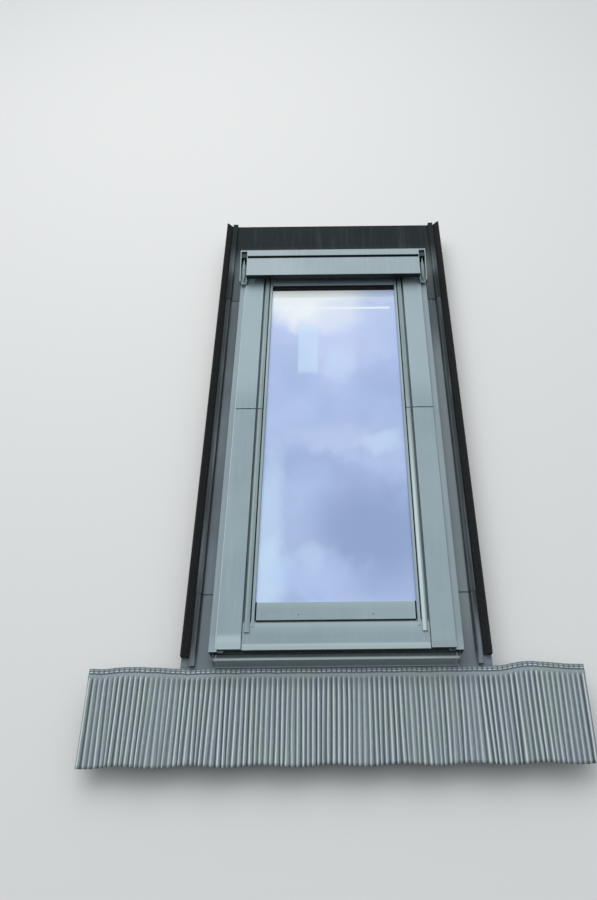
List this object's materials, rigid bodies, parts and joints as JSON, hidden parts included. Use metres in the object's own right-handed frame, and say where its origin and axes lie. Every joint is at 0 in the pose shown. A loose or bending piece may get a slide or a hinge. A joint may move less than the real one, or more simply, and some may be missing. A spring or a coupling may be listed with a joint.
{
  "type": "roof window",
  "caption": "Centre-pivot roof window with timber frame and sash, double glazing, grey-green metal covers, top hood, gutters and a pleated apron.",
  "frame": {"origin": "middle of the timber frame, on its room-side face", "axes": "+X across the window to the right seen from outside, +Y up the slope of the roof, +Z out of the roof"},
  "size_m": [1.106, 1.656, 0.153],
  "materials": {
    "timber": "clear lacquered pine",
    "cladding": "satin grey-green paint on aluminium sheet",
    "flashing": "matte grey paint on aluminium sheet",
    "apron": "matte grey-green paint on pleated sheet",
    "glass": "clear float glass",
    "spacer": "plain aluminium",
    "seal_rubber": "matte black rubber",
    "foam": "dark open foam",
    "zinc_steel": "zinc plated",
    "dark_plastic": "black moulded plastic",
    "handle_metal": "satin anodised"
  },
  "bodies": {
    "window_frame": {"frame_side_left": "timber", "frame_side_right": "timber", "frame_top_member": "timber", "frame_bottom_member": "timber", "side_cladding_left": "cladding", "side_cladding_right": "cladding", "upper_cover_left": "cladding", "upper_cover_right": "cladding", "upper_cover_clips": "zinc_steel", "sill_cover": "cladding", "hood_cover": "cladding", "hood_brackets": "zinc_steel", "hood_ends": "cladding", "hood_inlays": "zinc_steel", "hood_plugs": "dark_plastic", "hinge_tracks": "zinc_steel", "upper_gaskets": "seal_rubber", "bolt_bushes": "dark_plastic", "side_gutter_left": "flashing", "side_gutter_right": "flashing", "head_flashing": "flashing", "sill_flashing": "flashing", "pleated_apron": "apron", "foam_strips": "foam", "mounting_brackets": "zinc_steel", "bracket_screws": "zinc_steel"},
    "sash": {"sash_stile_left": "timber", "sash_stile_right": "timber", "sash_top_rail": "timber", "sash_bottom_rail": "timber", "inner_pane": "glass", "outer_pane": "glass", "glass_spacer": "spacer", "glazing_bed": "seal_rubber", "setting_blocks": "seal_rubber", "upper_trims": "cladding", "lower_trims": "cladding", "glazing_beads": "cladding", "top_bead": "cladding", "sash_top_cover": "cladding", "glazing_cover": "cladding", "glazing_cover_screws": "zinc_steel", "rail_cover": "cladding", "lower_cover_left": "cladding", "lower_cover_right": "cladding", "lower_cover_clips": "zinc_steel", "hinge_shoes": "zinc_steel", "hinge_screws": "zinc_steel", "lower_gaskets": "seal_rubber", "bottom_gasket": "seal_rubber", "lock_case": "zinc_steel", "handle_rose": "handle_metal", "bolt_guides": "dark_plastic"},
    "handle": {"handle": "handle_metal"},
    "lock_rod_left": {"lock_rod_left": "zinc_steel"},
    "lock_rod_right": {"lock_rod_right": "zinc_steel"},
    "cleaning_bolt_left": {"cleaning_bolt_left": "zinc_steel"},
    "cleaning_bolt_right": {"cleaning_bolt_right": "zinc_steel"}
  },
  "joints": [
    {"name": "sash_pivot", "type": "hinge", "parent": "window_frame", "child": "sash", "pos_m": [0, 0.048, 0.115], "axis": [-1, 0, 0], "range_deg": [0, 160]},
    {"name": "handle_turn", "type": "hinge", "parent": "sash", "child": "handle", "pos_m": [0, -0.524, 0.038], "axis": [0, 0, -1], "range_deg": [0, 90]},
    {"name": "lock_rod_left_slide", "type": "slide", "parent": "sash", "child": "lock_rod_left", "axis": [-1, 0, 0], "range_m": [0, 0.015]},
    {"name": "lock_rod_right_slide", "type": "slide", "parent": "sash", "child": "lock_rod_right", "axis": [1, 0, 0], "range_m": [0, 0.015]},
    {"name": "cleaning_bolt_left_slide", "type": "slide", "parent": "sash", "child": "cleaning_bolt_left", "axis": [-1, 0, 0], "range_m": [0, 0.012]},
    {"name": "cleaning_bolt_right_slide", "type": "slide", "parent": "sash", "child": "cleaning_bolt_right", "axis": [1, 0, 0], "range_m": [0, 0.012]}
  ],
  "couplings": [
    {"joint": "lock_rod_left_slide", "follows": "handle_turn", "m_per_rad": 0.009549},
    {"joint": "lock_rod_right_slide", "follows": "handle_turn", "m_per_rad": 0.009549}
  ]
}
